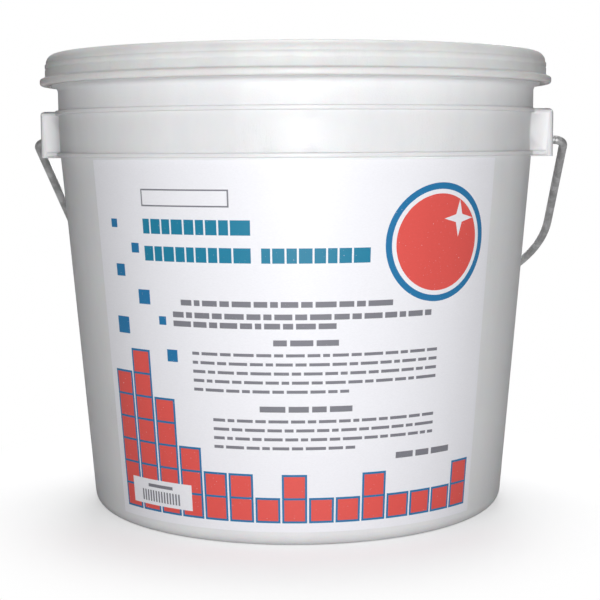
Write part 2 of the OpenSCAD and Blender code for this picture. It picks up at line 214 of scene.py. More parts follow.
def far_from_middle(tree):
    """0 where the object stands, 1 where the floor should be as white as the world."""
    place = add_node(tree, "ShaderNodeTexCoord").outputs["Object"]
    length = add_node(tree, "ShaderNodeVectorMath", operation="LENGTH")
    wire(tree, place, length.inputs[0])
    fade = add_node(tree, "ShaderNodeMapRange", interpolation_type="SMOOTHSTEP")
    wire(tree, length.outputs["Value"], fade.inputs["Value"])
    fade.inputs["From Min"].default_value = FLOOR_FADE_FROM
    fade.inputs["From Max"].default_value = FLOOR_FADE_TO
    return fade.outputs["Result"]


def make_floor():
    material, tree, shader = new_material("floor_white", Roughness=0.9, Specular_IOR_Level=0.0)
    seen = seen_directly(tree)
    far = far_from_middle(tree)
    seen_colour = mix_colour(tree, far, FLOOR_SEEN, (0, 0, 0, 1))
    wire(tree, mix_colour(tree, seen, FLOOR_BOUNCE, seen_colour), shader.inputs["Base Color"])
    shader.inputs["Emission Color"].default_value = (1, 1, 1, 1)
    lift = maths(tree, "ADD", maths(tree, "MULTIPLY", far, 1 - FLOOR_LIFT), FLOOR_LIFT)
    wire(tree, maths(tree, "MULTIPLY", seen, lift), shader.inputs["Emission Strength"])
    mesh = bpy.data.meshes.new("floor")
    corners = [(x * FLOOR_HALF, y * FLOOR_HALF, 0) for x, y in ((-1, -1), (1, -1), (1, 1), (-1, 1))]
    mesh.from_pydata(corners, [], [(0, 1, 2, 3)])
    mesh.materials.append(material)
    floor = bpy.data.objects.new("floor", mesh)
    bpy.context.scene.collection.objects.link(floor)
    return floor


print("floor", [round(v, 1) for v in make_floor().dimensions[:2]], "m")

# %% [markdown]
# ## Three soft lamps
# The pail is brightest down its middle and falls off to both sides, which tells of one soft lamp close to
# the camera. A second lamp, high up, lights the lid, and a third, low and far behind, gives the floor and
# the edges a little light from the back. Each is a square that sends its light from its whole face.


# %% Lamps
def add_lamp(name, place, aim, size, watts):
    data = bpy.data.lights.new(name, "AREA")
    data.shape = "SQUARE"
    data.size = size
    data.energy = watts
    lamp = bpy.data.objects.new(name, data)
    bpy.context.scene.collection.objects.link(lamp)
    direction = Vector(aim) - Vector(place)
    lamp.matrix_world = Matrix.Translation(place) @ direction.to_track_quat("-Z", "Y").to_matrix().to_4x4()
    return lamp


add_lamp("front_softbox", place=(0.13, -0.98, 0.17), aim=(0, 0, 0.1), size=0.36, watts=7.4)
add_lamp("top_softbox", place=(0, 0.4, 1.35), aim=(0, 0, 0), size=0.7, watts=11)
add_lamp("back_softbox", place=(-0.05, 1.7, 0.5), aim=(0, 0, 0.1), size=0.7, watts=11)

# %% [markdown]
# ## Smooth copies of the moulded pieces
# The solid model arrives as loose triangles, which shade as flat facets. A copy with its doubles merged
# can be shaded smooth, with every edge sharper than a set angle kept crisp, and weighted normals keep the
# flat faces flat. The copy has the same form, so it may stand in for the solid.

# %% Smooth the solid pieces
import bmesh

CRISP_ANGLE = math.radians(28)
MERGE_DISTANCE = 2e-6
FLAT_FACE_WEIGHT = 60


def link(name, mesh):
    piece = bpy.data.objects.new(name, mesh)
    bpy.context.scene.collection.objects.link(piece)
    return piece


def smooth_copy(node, name):
    work = bmesh.new()
    work.from_mesh(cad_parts[node].data)
    bmesh.ops.remove_doubles(work, verts=work.verts, dist=MERGE_DISTANCE)
    mesh = bpy.data.meshes.new(name)
    work.to_mesh(mesh)
    work.free()
    mesh.materials.clear()
    mesh.shade_smooth()
    mesh.set_sharp_from_angle(angle=CRISP_ANGLE)
    piece = link(name, mesh)
    weighted = piece.modifiers.new("flat faces stay flat", "WEIGHTED_NORMAL")
    weighted.keep_sharp = True
    weighted.weight = FLAT_FACE_WEIGHT
    return apply_modifiers(piece)


def apply_modifiers(piece):
    """Turns a piece with modifiers into a plain mesh piece of the same name."""
    evaluated = piece.evaluated_get(bpy.context.evaluated_depsgraph_get())
    mesh = bpy.data.meshes.new_from_object(evaluated)
    piece.modifiers.clear()
    piece.data = mesh
    return piece


pail = smooth_copy("pail_body", "moulded_pail")
lid = smooth_copy("lid", "snap_lid")
bail = smooth_copy("bail", "wire_bail")
grip = smooth_copy("bail_grip", "hand_grip")
for piece in (pail, lid, bail, grip):
    print(piece.name, len(piece.data.polygons), "faces")

# %% [markdown]
# ## Noise, the raw stuff of a finish
# Most wear and grain is noise, stretched, cut off at two levels or turned into relief. These helpers give
# each of those steps a plain name, and measure noise by the width of its lumps, which is easier to judge
# against a real object than a scale.


# %% Noise helpers
def coordinates(tree):
    """The piece's own coordinates in metres; they stay fixed to it when it moves."""
    return add_node(tree, "ShaderNodeTexCoord").outputs["Object"]


def noise(tree, vector, size, detail=2.0, roughness=0.5):
    """Noise from 0 to 1 with lumps about size metres across; a socket gives lumps per metre instead."""
    node = add_node(tree, "ShaderNodeTexNoise")
    wire(tree, vector, node.inputs["Vector"])
    feed(tree, size if isinstance(size, bpy.types.NodeSocket) else 1.0 / size, node.inputs["Scale"])
    node.inputs["Detail"].default_value = detail
    node.inputs["Roughness"].default_value = roughness
    return node.outputs["Fac"]


def between(tree, value, low, high):
    """Stretches the part of value from low to high over 0 to 1."""
    node = add_node(tree, "ShaderNodeMapRange", clamp=True, interpolation_type="SMOOTHSTEP")
    wire(tree, value, node.inputs["Value"])
    node.inputs["From Min"].default_value = low
    node.inputs["From Max"].default_value = high
    return node.outputs["Result"]


def bump(tree, height, strength, distance, normal=None):
    node = add_node(tree, "ShaderNodeBump")
    wire(tree, height, node.inputs["Height"])
    node.inputs["Strength"].default_value = strength
    node.inputs["Distance"].default_value = distance
    if normal is not None:
        wire(tree, normal, node.inputs["Normal"])
    return node.outputs["Normal"]


def stretched(tree, vector, stretch, turn=(0, 0, 0)):
    node = add_node(tree, "ShaderNodeMapping")
    wire(tree, vector, node.inputs["Vector"])
    node.inputs["Scale"].default_value = stretch
    node.inputs["Rotation"].default_value = turn
    return node.outputs["Vector"]


# %% [markdown]
# ## Grain of a moulded skin
# Moulded plastic is never one even colour. Up close it has a fine orange-peel grain, and over a hand's
# width it is slightly wavy and cloudy. It is a node group, so the pail, the lid and the grip can wear the
# same effect in different amounts.


# %% Moulded grain
def make_moulded_grain():
    group, inputs, outputs = new_group(
        "moulded_grain", [("Vector", "Vector", None), ("Grain per metre", "Float", 1400.0)],
        [("Height", "Float", None), ("Cloud", "Float", None)])
    grain = noise(group, inputs["Vector"], inputs["Grain per metre"], 2.0)
    wave = noise(group, stretched(group, inputs["Vector"], (1, 1, 0.4)), 0.03, 1.0)
    flow = noise(group, stretched(group, inputs["Vector"], (1, 1, 0.3)), 0.012, 4.0, 0.6)
    wire(group, maths(group, "ADD", maths(group, "MULTIPLY", grain, 0.25), wave), outputs["Height"])
    wire(group, between(group, maths(group, "MULTIPLY", maths(group, "ADD", flow, wave), 0.5), 0.35, 0.65),
         outputs["Cloud"])
    return group


GRAIN = make_moulded_grain()
print(GRAIN.name, "has", len(GRAIN.nodes), "nodes")

# %% [markdown]
# ## Hair-fine scratches
# Handling leaves thin scratches, more of them in some places than in others. A scratch is where a
# stretched noise crosses its middle value, so each noise draws a bundle of long lines. Two bundles lie
# across each other, and a third, slower noise lets them through in patches.


# %% Scratches
def make_hair_scratches():
    """A mask that is 1 on thin lines in two directions, where a patchy noise lets them through."""
    group, inputs, outputs = new_group(
        "hair_scratches", [("Vector", "Vector", None), ("Cover", "Float", 0.5)], [("Mask", "Float", None)])
    lines = []
    for turn in ((0.3, 0.5, 0.2), (-0.8, 0.1, 0.9)):
        thin = noise(group, stretched(group, inputs["Vector"], (16, 16, 0.7), turn), 0.010, 3.0)
        near = maths(group, "ABSOLUTE", maths(group, "SUBTRACT", thin, 0.5))
        lines.append(maths(group, "SUBTRACT", 1.0, between(group, near, 0.0, 0.012)))
    patches = noise(group, inputs["Vector"], 0.035, 2.0)
    limit = maths(group, "SUBTRACT", 0.75, maths(group, "MULTIPLY", inputs["Cover"], 0.5))
    reach = maths(group, "SUBTRACT", patches, limit)
    shown = maths(group, "MULTIPLY", maths(group, "MAXIMUM", *lines), between(group, reach, 0.0, 0.2))
    wire(group, shown, outputs["Mask"])
    return group


SCRATCHES = make_hair_scratches()
print(SCRATCHES.name, "has", len(SCRATCHES.nodes), "nodes")

# %% [markdown]
# ## Edges that a mould always rounds
# No moulded edge is truly sharp. The Bevel node rounds it for the light alone, by bending the normals
# near it, and the place where the bent normal leaves the true one is a mask of all the edges.


# %% Eased edges
def make_eased_edges():
    """Normals that run round each edge, and a mask that is 1 on the edges."""
    group, inputs, outputs = new_group(
        "eased_edges", [("Radius", "Float", 0.0005)], [("Normal", "Vector", None), ("Edge", "Float", None)])
    ease = add_node(group, "ShaderNodeBevel", samples=4)
    wire(group, inputs["Radius"], ease.inputs["Radius"])
    flat = add_node(group, "ShaderNodeNewGeometry").outputs["Normal"]
    match = add_node(group, "ShaderNodeVectorMath", operation="DOT_PRODUCT")
    wire(group, ease.outputs["Normal"], match.inputs[0])
    wire(group, flat, match.inputs[1])
    wire(group, ease.outputs["Normal"], outputs["Normal"])
    smooth = between(group, match.outputs["Value"], 0.75, 0.99)
    wire(group, maths(group, "SUBTRACT", 1.0, smooth), outputs["Edge"])
    return group


EASED = make_eased_edges()
print(EASED.name, "has", len(EASED.nodes), "nodes")

# %% [markdown]
# ## Plastics
# The pail is white high-density plastic: chalky, satin, a little translucent. The lid is a softer,
# milkier grade with less pigment, so it looks a touch greyer and lets more light sink in. Pail, lid and
# grip come from one function with other colours and amounts. The colour only moves a few hundredths
# between its dull and its clean places; more would read as dirt. The groups feed colour, roughness and
# normal, and the steady values sit on the shader.

# %% Plastic materials
SCRATCH_SHADE = 0.72
RUBBED_SHADE = 1.08


def shaded(colour, share):
    """The colour times share, kept at white or below."""
    return (*[min(1.0, share * v) for v in colour], 1)


def moulded_plastic(name, clean, dull, satin, scratch_cover, edge_radius, **constants):
    material, tree, shader = new_material(name, **constants)
    place = coordinates(tree)
    grain = use_group(tree, GRAIN, Vector=place)
    marks = use_group(tree, SCRATCHES, Vector=place, Cover=scratch_cover)["Mask"]
    edges = use_group(tree, EASED, Radius=edge_radius)
    cloudy = mix_colour(tree, grain["Cloud"], (*dull, 1), (*clean, 1))
    marked = mix_colour(tree, maths(tree, "MULTIPLY", marks, 0.3), cloudy, shaded(clean, SCRATCH_SHADE))
    rubbed = mix_colour(tree, maths(tree, "MULTIPLY", edges["Edge"], 0.25), marked,
                        shaded(clean, RUBBED_SHADE))
    wire(tree, rubbed, shader.inputs["Base Color"])
    rough = maths(tree, "ADD", maths(tree, "MULTIPLY", grain["Cloud"], 0.1), satin)
    wire(tree, maths(tree, "ADD", rough, maths(tree, "MULTIPLY", marks, 0.2)), shader.inputs["Roughness"])
    wavy = bump(tree, grain["Height"], 0.35, 0.0006, edges["Normal"])
    wire(tree, bump(tree, marks, 0.25, 0.0001, wavy), shader.inputs["Normal"])
    return material


PAIL_PLASTIC = moulded_plastic("pail_plastic", (0.84, 0.84, 0.85), (0.8, 0.8, 0.815), 0.36, 0.5, 0.0006,
                               Specular_IOR_Level=0.32, Subsurface_Weight=0.12, Subsurface_Scale=0.003)
LID_PLASTIC = moulded_plastic("lid_plastic", (0.83, 0.83, 0.825), (0.77, 0.77, 0.77), 0.38, 0.6, 0.0005,
                              Specular_IOR_Level=0.36, Subsurface_Weight=0.25, Subsurface_Scale=0.004)
GRIP_PLASTIC = moulded_plastic("grip_plastic", (0.82, 0.82, 0.82), (0.76, 0.76, 0.765), 0.36, 0.8, 0.0004,
                               Specular_IOR_Level=0.35, Subsurface_Weight=0.1, Subsurface_Scale=0.003)
for material in (PAIL_PLASTIC, LID_PLASTIC, GRIP_PLASTIC):
    print(material.name, "has", len(material.node_tree.nodes), "nodes")

# %% [markdown]
# ## Galvanised wire
# The bail is drawn steel wire dipped in zinc. Zinc freezes in small crystals, so its grey is broken into
# patches that differ in brightness and in gloss, and where the wire is bent and handled it has gone dull.
# Voronoi cells make the crystals: one channel of each cell's random colour sets its brightness.

# %% Wire material
CRYSTALS_PER_METRE = 420.0
ZINC_DARK = (0.46, 0.46, 0.465, 1)
ZINC_BRIGHT = (0.68, 0.68, 0.685, 1)
ZINC_DULL = (0.34, 0.34, 0.34, 1)


def galvanised_wire():
    material, tree, shader = new_material("galvanised_wire", Metallic=0.85, Specular_IOR_Level=0.4)
    place = coordinates(tree)
    cells = add_node(tree, "ShaderNodeTexVoronoi", feature="F1")
    warped = noise(tree, place, 0.004, 2.0)
    shift = add_node(tree, "ShaderNodeVectorMath", operation="ADD")
    wire(tree, place, shift.inputs[0])
    scaled = maths(tree, "MULTIPLY", warped, 0.002)
    wire(tree, scaled, shift.inputs[1])
    wire(tree, shift.outputs["Vector"], cells.inputs["Vector"])
    cells.inputs["Scale"].default_value = CRYSTALS_PER_METRE
    crystal = add_node(tree, "ShaderNodeSeparateColor")
    wire(tree, cells.outputs["Color"], crystal.inputs["Color"])
    crystal = crystal.outputs[0]
    dull = between(tree, noise(tree, place, 0.007, 4.0, 0.6), 0.35, 0.7)
    grey = mix_colour(tree, crystal, ZINC_DARK, ZINC_BRIGHT)
    handled = mix_colour(tree, maths(tree, "MULTIPLY", dull, 0.6), grey, ZINC_DULL)
    wire(tree, handled, shader.inputs["Base Color"])
    rough = maths(tree, "ADD", maths(tree, "MULTIPLY", crystal, 0.14), 0.38)
    wire(tree, maths(tree, "ADD", rough, maths(tree, "MULTIPLY", dull, 0.15)), shader.inputs["Roughness"])
    pits = noise(tree, place, 0.0008, 3.0)
    wire(tree, bump(tree, maths(tree, "ADD", pits, maths(tree, "MULTIPLY", crystal, 0.5)), 0.5, 0.00012),
         shader.inputs["Normal"])
    return material


ZINC = galvanised_wire()
print(ZINC.name, "has", len(ZINC.node_tree.nodes), "nodes")

# %% [markdown]
# ## Printed paper
# The label is coated paper. Its surface shows a faint fibre cloud and, because it was rolled on by hand,
# very shallow ripples that only the reflections show. Each ink lies on that same paper, so one group
# serves the bare paper and every ink. It reads the label's flat sheet coordinates, which are stored on
# the mesh before the sheet is bent, so the fibres follow the paper round the pail.


# %% Coated paper
def make_coated_paper():
    group, inputs, outputs = new_group(
        "coated_paper", [("Vector", "Vector", None)],
        [("Fibre", "Float", None), ("Ripple", "Float", None), ("Speck", "Float", None)])
    fibre = noise(group, stretched(group, inputs["Vector"], (1, 2.2, 1)), 0.0011, 5.0, 0.65)
    ripple = noise(group, stretched(group, inputs["Vector"], (1, 0.35, 1)), 0.022, 1.0)
    wire(group, fibre, outputs["Fibre"])
    wire(group, ripple, outputs["Ripple"])
    wire(group, between(group, noise(group, inputs["Vector"], 0.0006, 1.0), 0.74, 0.8), outputs["Speck"])
    return group


PAPER = make_coated_paper()
print(PAPER.name, "has", len(PAPER.nodes), "nodes")

# %% [markdown]
# ## Inks
# A printed colour is the paper's own surface with another base colour. A few pinholes, where the ink
# missed a fibre, let the bare paper through, and that is what makes a flat field of colour look printed.

# %% Ink materials
BARE_PAPER = (0.86, 0.86, 0.88, 1)
FIBRE_DARK = 0.93
FIBRE_BRIGHT = 1.05


def printed_paper(name, colour, satin, specks):
    """specks is how much of the paper's white shows through the ink in pinholes."""
    material, tree, shader = new_material(name, Specular_IOR_Level=0.3)
    sheet = add_node(tree, "ShaderNodeAttribute", attribute_name="sheet").outputs["Vector"]
    paper = use_group(tree, PAPER, Vector=sheet)
    tone = mix_colour(tree, paper["Fibre"], shaded(colour, FIBRE_DARK), shaded(colour, FIBRE_BRIGHT))
    missed = maths(tree, "MULTIPLY", paper["Speck"], specks)
    wire(tree, mix_colour(tree, missed, tone, BARE_PAPER), shader.inputs["Base Color"])
    rough = maths(tree, "ADD", maths(tree, "MULTIPLY", paper["Fibre"], 0.2), satin)
    wire(tree, rough, shader.inputs["Roughness"])
    rippled = bump(tree, paper["Ripple"], 0.3, 0.0008)
    wire(tree, bump(tree, paper["Fibre"], 0.15, 0.0001, rippled), shader.inputs["Normal"])
    return material


INKS = [
    printed_paper("label_paper", (0.91, 0.91, 0.955), 0.34, 0.0),
    printed_paper("red_ink", (0.8, 0.105, 0.09), 0.36, 0.5),
    printed_paper("blue_ink", (0.02, 0.19, 0.41), 0.36, 0.5),
    printed_paper("teal_ink", (0.015, 0.22, 0.36), 0.38, 0.4),
    printed_paper("grey_ink", (0.22, 0.22, 0.25), 0.4, 0.3),
]
WHITE, RED, BLUE, TEAL, GREY = range(len(INKS))
print("paper and inks:", [material.name for material in INKS])

# %% [markdown]
# ## Geometry Nodes in a script
# Three things on this object follow a rule: the label follows the wall, the print follows the label, and
# the powder's grains repeat by the thousand. Geometry Nodes suit all three. A tree is built once, its
# inputs are set on a modifier by their identifiers, and the result is turned into a plain mesh, which any
# exporter understands. Every tree ends by making its copies real and giving them their material.


# %% Geometry node helpers
def new_geometry_tree(name, inputs):
    tree = bpy.data.node_groups.new(name, "GeometryNodeTree")
    tree.interface.new_socket("Geometry", in_out="INPUT", socket_type="NodeSocketGeometry")
    for label, kind in inputs:
        tree.interface.new_socket(label, in_out="INPUT", socket_type="NodeSocket" + kind)
    tree.interface.new_socket("Geometry", in_out="OUTPUT", socket_type="NodeSocketGeometry")
    return tree, add_node(tree, "NodeGroupInput").outputs, add_node(tree, "NodeGroupOutput").inputs


def step(tree, kind, settings=None, **values):
    """Adds a node, feeds its inputs by name and gives its outputs."""
    node = add_node(tree, kind, **(settings or {}))
    for name, value in values.items():
        feed(tree, value, node.inputs[name.replace("_", " ")])
    return node.outputs


def vector(tree, x, y, z):
    return step(tree, "ShaderNodeCombineXYZ", X=x, Y=y, Z=z)["Vector"]


def end_tree(tree, geometry, material, outputs):
    """Makes all copies real, gives them one material and hands the result over."""
    solid = step(tree, "GeometryNodeRealizeInstances", Geometry=geometry)["Geometry"]
    wire(tree, step(tree, "GeometryNodeSetMaterial", Geometry=solid, Material=material)["Geometry"],
         outputs["Geometry"])


def grow(name, tree, mesh, **values):
    """Runs a tree on a mesh and gives the result as a plain mesh piece."""
    piece = link(name, mesh)
    modifier = piece.modifiers.new(tree.name, "NODES")
    modifier.node_group = tree
    for item in tree.interface.items_tree:
        label = item.name.replace(" ", "_")
        if item.item_type == "SOCKET" and item.in_out == "INPUT" and label in values:
            modifier[item.identifier] = values[label]
    return apply_modifiers(piece)


# %% [markdown]
# ## Bending a flat sheet round the wall
# The label is designed flat, as a printer would: x runs along the paper from its middle, y runs up from
# its foot, and z is the height above the wall. One group then wraps that drawing round the cone. The
# angle comes from x, the radius from y and z. The radii are measured on the solid label, so the two
# always agree.

# %% Measure the solid label and make the wrap group
WALL_GAP = 0.00005
PAPER_THICK = 0.00025
FRONT = -math.pi / 2

corners = [v.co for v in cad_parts["label"].data.vertices]
label_foot = min(v.z for v in corners)
label_top = max(v.z for v in corners)
foot_radius = min(v.to_2d().length for v in corners if v.z < label_foot + 1e-4)
top_radius = min(v.to_2d().length for v in corners if v.z > label_top - 1e-4)
angles = [math.atan2(v.y, v.x) for v in corners]
SHEET_HIGH = label_top - label_foot
SHEET_TURN = (max(angles) + min(angles)) / 2
SHEET_RADIUS = (foot_radius + top_radius) / 2 - WALL_GAP
SHEET_WIDE = (max(angles) - min(angles)) * SHEET_RADIUS
SLOPE = (top_radius - foot_radius) / SHEET_HIGH
print("label", round(SHEET_WIDE * 1000, 1), "by", round(SHEET_HIGH * 1000, 1), "mm, turned",
      round(math.degrees(SHEET_TURN - FRONT), 1), "degrees")


def make_wrap():
    tree, inputs, outputs = new_geometry_tree("wrap_round_wall", [
        ("Foot Radius", "Float"), ("Slope", "Float"), ("Sheet Radius", "Float"), ("Turn", "Float"),
        ("Foot Height", "Float")])
    flat = step(tree, "GeometryNodeInputPosition")["Position"]
    kept = step(tree, "GeometryNodeStoreNamedAttribute", {"data_type": "FLOAT_VECTOR", "domain": "POINT"},
                Geometry=inputs["Geometry"], Name="sheet", Value=flat)["Geometry"]
    part = step(tree, "ShaderNodeSeparateXYZ", Vector=flat)
    angle = maths(tree, "ADD", maths(tree, "DIVIDE", part["X"], inputs["Sheet Radius"]), inputs["Turn"])
    rise = maths(tree, "MULTIPLY_ADD", part["Y"], inputs["Slope"], inputs["Foot Radius"])
    radius = maths(tree, "ADD", rise, part["Z"])
    bent = vector(tree, maths(tree, "MULTIPLY", radius, maths(tree, "COSINE", angle)),
                  maths(tree, "MULTIPLY", radius, maths(tree, "SINE", angle)),
                  maths(tree, "ADD", part["Y"], inputs["Foot Height"]))
    wire(tree, step(tree, "GeometryNodeSetPosition", Geometry=kept, Position=bent)["Geometry"],
         outputs["Geometry"])
    return tree


WRAP = make_wrap()


def wrapped(tree, geometry):
    """The wrap group, set to this pail's wall, as a step of another tree."""
    return step(tree, "GeometryNodeGroup", {"node_tree": WRAP}, Geometry=geometry, Foot_Radius=foot_radius,
                Slope=SLOPE, Sheet_Radius=SHEET_RADIUS, Turn=SHEET_TURN, Foot_Height=label_foot)["Geometry"]


# %% [markdown]
# ## The paper
# The sheet is a box of paper, a quarter of a millimetre thick with its coating, cut into enough columns
# that the bend looks round. It replaces the solid label, whose raised print is drawn again below as ink.


# %% Label sheet
SHEET_COLUMNS = 141
SHEET_ROWS = 41


def make_sheet_tree():
    tree, inputs, outputs = new_geometry_tree("label_sheet", [
        ("Width", "Float"), ("Height", "Float"), ("Thickness", "Float"), ("Columns", "Int"), ("Rows", "Int"),
        ("Paper", "Material")])
    size = vector(tree, inputs["Width"], inputs["Height"], inputs["Thickness"])
    box = step(tree, "GeometryNodeMeshCube", Size=size, Vertices_X=inputs["Columns"],
               Vertices_Y=inputs["Rows"], Vertices_Z=2)["Mesh"]
    half = vector(tree, 0.0, maths(tree, "MULTIPLY", inputs["Height"], 0.5),
                  maths(tree, "MULTIPLY", inputs["Thickness"], 0.5))
    placed = step(tree, "GeometryNodeTransform", Geometry=box, Translation=half)["Geometry"]
    end_tree(tree, wrapped(tree, placed), inputs["Paper"], outputs)
    return tree


def finish_edges(piece):
    """Smooth over the bend, crisp at the paper's edges."""
    piece.data.shade_smooth()
    piece.data.set_sharp_from_angle(angle=CRISP_ANGLE)


sheet = grow("label_sheet", make_sheet_tree(), bpy.data.meshes.new("label_sheet"), Width=SHEET_WIDE,
             Height=SHEET_HIGH, Thickness=PAPER_THICK, Columns=SHEET_COLUMNS, Rows=SHEET_ROWS,
             Paper=INKS[WHITE])
finish_edges(sheet)
print(sheet.name, len(sheet.data.polygons), "faces")

# %% [markdown]
# ## The print's layout
# The label carries a plain design of its own: red tiles with blue lines stacked along the left and the
# foot, a round plate at the upper right, teal bars for a title and grey bars for lines of text. It is
# drawn once, as a list of rectangles in millimetres of paper, each with its ink and the number of the ink
# layer that it lies in. The tiles come first. Each column is a blue bar with red tiles on it, so the
# joints between them stay blue.

# %% Rectangles of the print
MARGIN = 3.8
TILE_LINE = 0.9
TILE_GAP = 0.8
TILES = (6, 7, 5, 3, 2, 2, 1, 2, 1, 1, 2, 1, 1, 1, 2)
LOOSE_TILES = ((-81, 79, 7), (-67, 92, 6), (-79, 103, 5), (-69, 113, 4), (-80, 123, 3.5), (-54, 69, 5),
               (-57, 84, 3.5))
PAPER_TOP = SHEET_HIGH * 1000
PRINT_X = SHEET_WIDE * 500 - MARGIN
prints = []


def ink(x0, x1, y0, y1, colour, layers=1):
    prints.append((x0, y0, x1 - x0, y1 - y0, colour, layers))


def print_tiles():
    tile = (2 * PRINT_X + TILE_GAP) / len(TILES) - TILE_GAP
    pitch = tile - TILE_LINE
    for column, count in enumerate(TILES):
        x = column * (tile + TILE_GAP) - PRINT_X
        ink(x, x + tile, MARGIN, MARGIN + count * pitch + TILE_LINE, BLUE, 2)
        for row in range(count):
            y = MARGIN + TILE_LINE + row * pitch
            ink(x + TILE_LINE, x + tile - TILE_LINE, y, y + tile - 2 * TILE_LINE, RED, 3)
    for x, y, size in LOOSE_TILES:
        ink(x, x + size, y, y + size, BLUE, 2)


print_tiles()
print(len(prints), "tiles and their joints")

# %% [markdown]
# Text that nobody may read is drawn by designers as bars, one to a word. The lengths here follow the
# golden share: each word takes the next multiple of 0.618, without its whole part, so that the lengths
# look mixed and never repeat in a row.

# %% A row of bars
GOLDEN = 0.618


def bars(x, width, low, high, colour, shortest, longest, gap, first):
    """A row of bars of mixed lengths from x, as far as width, ending flush."""
    start, number = x, first
    while start < x + width - shortest:
        share = (number * GOLDEN) % 1.0
        end = min(start + shortest + (longest - shortest) * share, x + width)
        if x + width - end < shortest + gap:
            end = x + width
        ink(start, end, low, high, colour)
        start, number = end + gap, number + 1
    return number


def golden_row(left, width, drop, style, first):
    """A row of bars whose top lies drop below the paper's upper edge, in one of the styles below."""
    colour, high, shortest, longest, gap = style
    top = PAPER_TOP - drop
    return bars(left, width, top - high, top, colour, shortest, longest, gap, first)


print("word lengths go up and down:", [round(n * GOLDEN % 1.0, 2) for n in range(6)])

# %% [markdown]
# A style says the ink, how high a bar is, its shortest and longest run, and the space after it. The title
# has short blocks, about a letter wide. Headings and the lead lines are heavier than the small text, and
# the last line of a block of small text runs short, as it does in print.

# %% Title, headings and text
TITLE_STYLE = (TEAL, 6.0, 3.2, 5.2, 0.75)
HEADING_STYLE = (GREY, 2.4, 5, 11, 1.3)
LEAD_STYLE = (GREY, 2.3, 2.4, 8.5, 1.1)
TEXT_STYLE = (GREY, 1.25, 2.4, 8.5, 1.1)
CORNER_STYLE = (GREY, 2.6, 5, 9, 1.4)
TITLE_DROP = 23.4
TITLE_PITCH = 11
TEXT_PITCH = 3.7
LAST_LINE = 0.62
TITLE = ((-62, TITLE_DROP, 46), (-62, TITLE_DROP + TITLE_PITCH, 46), (-12, TITLE_DROP + TITLE_PITCH, 42))
HEADINGS = ((-8, 71, 26), (-14, 98, 38))
BLOCKS = ((-46, 55.6, 86, 1, LEAD_STYLE), (-50, 60.6, 108, 2, LEAD_STYLE), (-42, 76.6, 104, 5, TEXT_STYLE),
          (-34, 103.6, 96, 4, TEXT_STYLE))
CORNER_LINE = (44, 28, PAPER_TOP - 31.6)


def print_text():
    number = 0
    for left, drop, width in TITLE:
        number = golden_row(left, width, drop, TITLE_STYLE, number)
    for left, drop, width in HEADINGS:
        number = golden_row(left, width, drop, HEADING_STYLE, number)
    for left, drop, width, lines, style in BLOCKS:
        for line in range(lines):
            run = width * LAST_LINE if line > 0 and line == lines - 1 else width
            number = golden_row(left, run, drop + line * TEXT_PITCH, style, number)
    golden_row(*CORNER_LINE, CORNER_STYLE, number)


print_text()
print(len(prints), "rectangles with the text")

# %% [markdown]
# An empty frame stands over the title, and a white panel lies across the tiles at the lower left. The
# panel has one short line over a row of even bars, which encode nothing.

# %% Frame and panel
FRAME_LEFT = -62
FRAME_DROP = 11.4
FRAME_WIDE = 38
FRAME_HIGH = 7
FRAME_LINE = 0.6
PANEL_LEFT = -80
PANEL_LOW = 6.5
PANEL_WIDE = 34
PANEL_HIGH = 11
SHORT_LINE_X = (10, 24)
SHORT_LINE_Y = (7.7, 9.1)
EVEN_BARS_PLACE = (6, 1.5)
EVEN_BARS = 14
EVEN_BAR_WIDE = 0.8
EVEN_BAR_HIGH = 4.8
EVEN_BAR_PITCH = 1.6


def print_frame():
    right, top = FRAME_LEFT + FRAME_WIDE, PAPER_TOP - FRAME_DROP
    low = top - FRAME_HIGH
    ink(FRAME_LEFT, right, low, top, GREY)
    ink(FRAME_LEFT + FRAME_LINE, right - FRAME_LINE, low + FRAME_LINE, top - FRAME_LINE, WHITE, 2)


def print_panel():
    ink(PANEL_LEFT, PANEL_LEFT + PANEL_WIDE, PANEL_LOW, PANEL_LOW + PANEL_HIGH, WHITE, 4)
    ink(*[PANEL_LEFT + x for x in SHORT_LINE_X], *[PANEL_LOW + y for y in SHORT_LINE_Y], GREY, 5)
    for number in range(EVEN_BARS):
        x = PANEL_LEFT + EVEN_BARS_PLACE[0] + EVEN_BAR_PITCH * number
        y = PANEL_LOW + EVEN_BARS_PLACE[1]
        ink(x, x + EVEN_BAR_WIDE, y, y + EVEN_BAR_HIGH, GREY, 5)


print_frame()
print_panel()
print(len(prints), "rectangles in all")

# %% [markdown]
# ## From rectangles to points
# Each rectangle becomes one point that carries its size and its ink as attributes. A point is all that
# Geometry Nodes need to put a bar there. The ink layers are three hundredths of a millimetre apart: far
# thicker than real ink, but still thin enough to look like print. Each bar starts inside the paper, so
# that it never floats.

# %% Points of the print
INK_LAYER = 0.00003
INK_BASE = PAPER_THICK / 2


def print_points():
    """One vertex for each rectangle, with its size in metres and its ink."""
    mesh = bpy.data.meshes.new("label_print")
    mesh.from_pydata([(x / 1000, y / 1000, INK_BASE) for x, y, w, h, colour, layers in prints], [], [])
    mesh.attributes.new("bar_size", "FLOAT_VECTOR", "POINT")
    mesh.attributes.new("ink", "INT", "POINT")
    sizes = mesh.attributes["bar_size"].data
    inks = mesh.attributes["ink"].data
    for i, (x, y, wide, high, colour, layers) in enumerate(prints):
        sizes[i].vector = (wide / 1000, high / 1000, INK_BASE + layers * INK_LAYER)
        inks[i].value = colour
    return mesh


points = print_points()
print(len(points.vertices), "points with", [a.name for a in points.attributes if a.domain == "POINT"])

# %% [markdown]
# ## The round plate
# The plate is four flat things on top of each other, like spot colours in print: a blue disc, a smaller
# white one, a red one, and a four-pointed spark near its upper right edge. Each stores its own ink, as
# the bars do.

